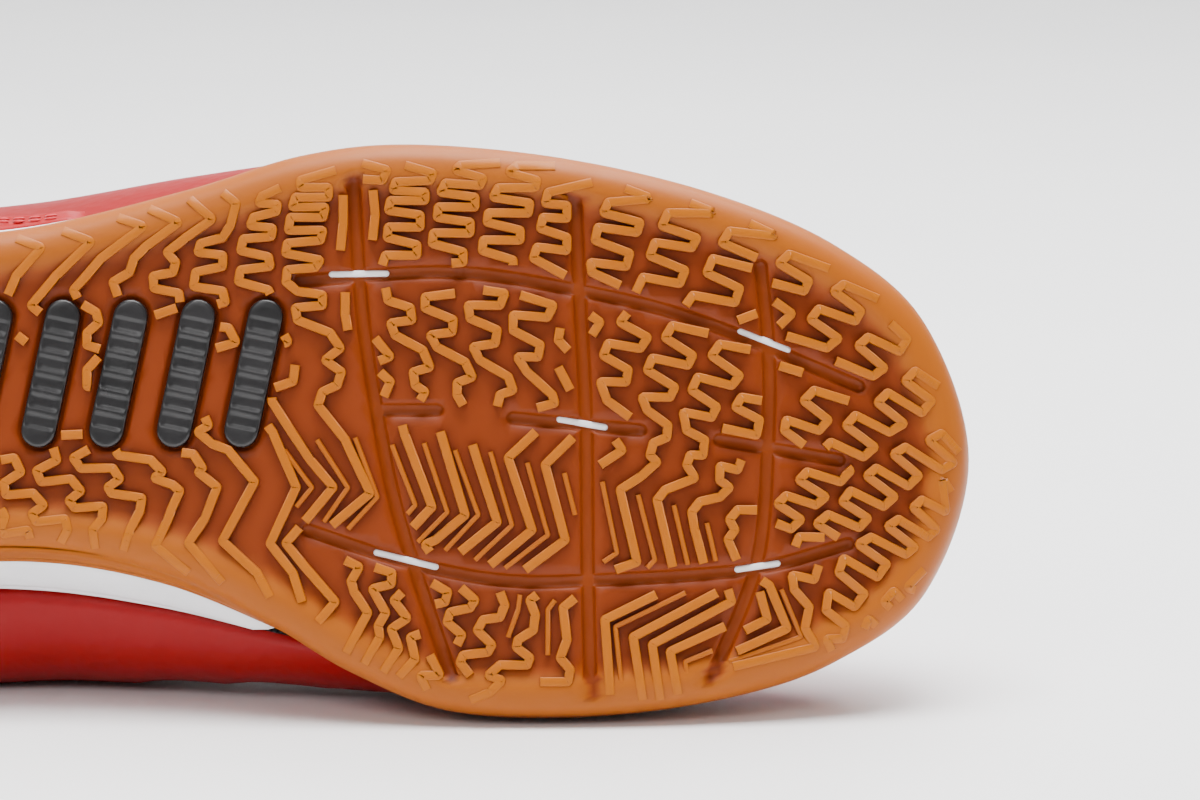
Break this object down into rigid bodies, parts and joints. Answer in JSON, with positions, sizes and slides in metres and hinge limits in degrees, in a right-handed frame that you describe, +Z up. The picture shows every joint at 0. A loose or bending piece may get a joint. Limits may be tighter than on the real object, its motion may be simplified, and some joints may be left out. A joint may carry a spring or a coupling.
{
  "type": "indoor soccer shoe",
  "caption": "Low indoor soccer shoe for the right foot, resting on its medial side, with gum rubber cup sole, flex grooves, foam midsole, lasted upper, tongue and laces.",
  "frame": {"origin": "middle of the bounding box's bottom face, on the floor the shoe lies on", "axes": "+X from heel to toe, +Y from the tread towards the top of the shoe, +Z up from the floor, from the medial to the lateral side"},
  "size_m": [0.2876, 0.1188, 0.1055],
  "materials": {
    "gum_rubber": "translucent amber gum rubber, satin",
    "black_rubber": "black rubber, satin",
    "white_foam": "white moulded foam, matte",
    "red_leather": "red coated leather, soft gloss",
    "red_textile": "red woven textile, matte",
    "grey_textile": "dark grey textile over foam, matte"
  },
  "bodies": {
    "root": {"outsole": "gum_rubber", "tread_inlay_1": "black_rubber", "tread_inlay_2": "black_rubber", "tread_inlay_3": "black_rubber", "tread_inlay_4": "black_rubber", "tread_inlay_5": "black_rubber", "midsole": "white_foam", "insole": "grey_textile", "upper": "red_leather", "eyestay": "red_leather", "toe_guard": "red_leather", "heel_counter": "red_leather", "tongue": "red_textile", "laces": "red_textile"}
  },
  "joints": []
}
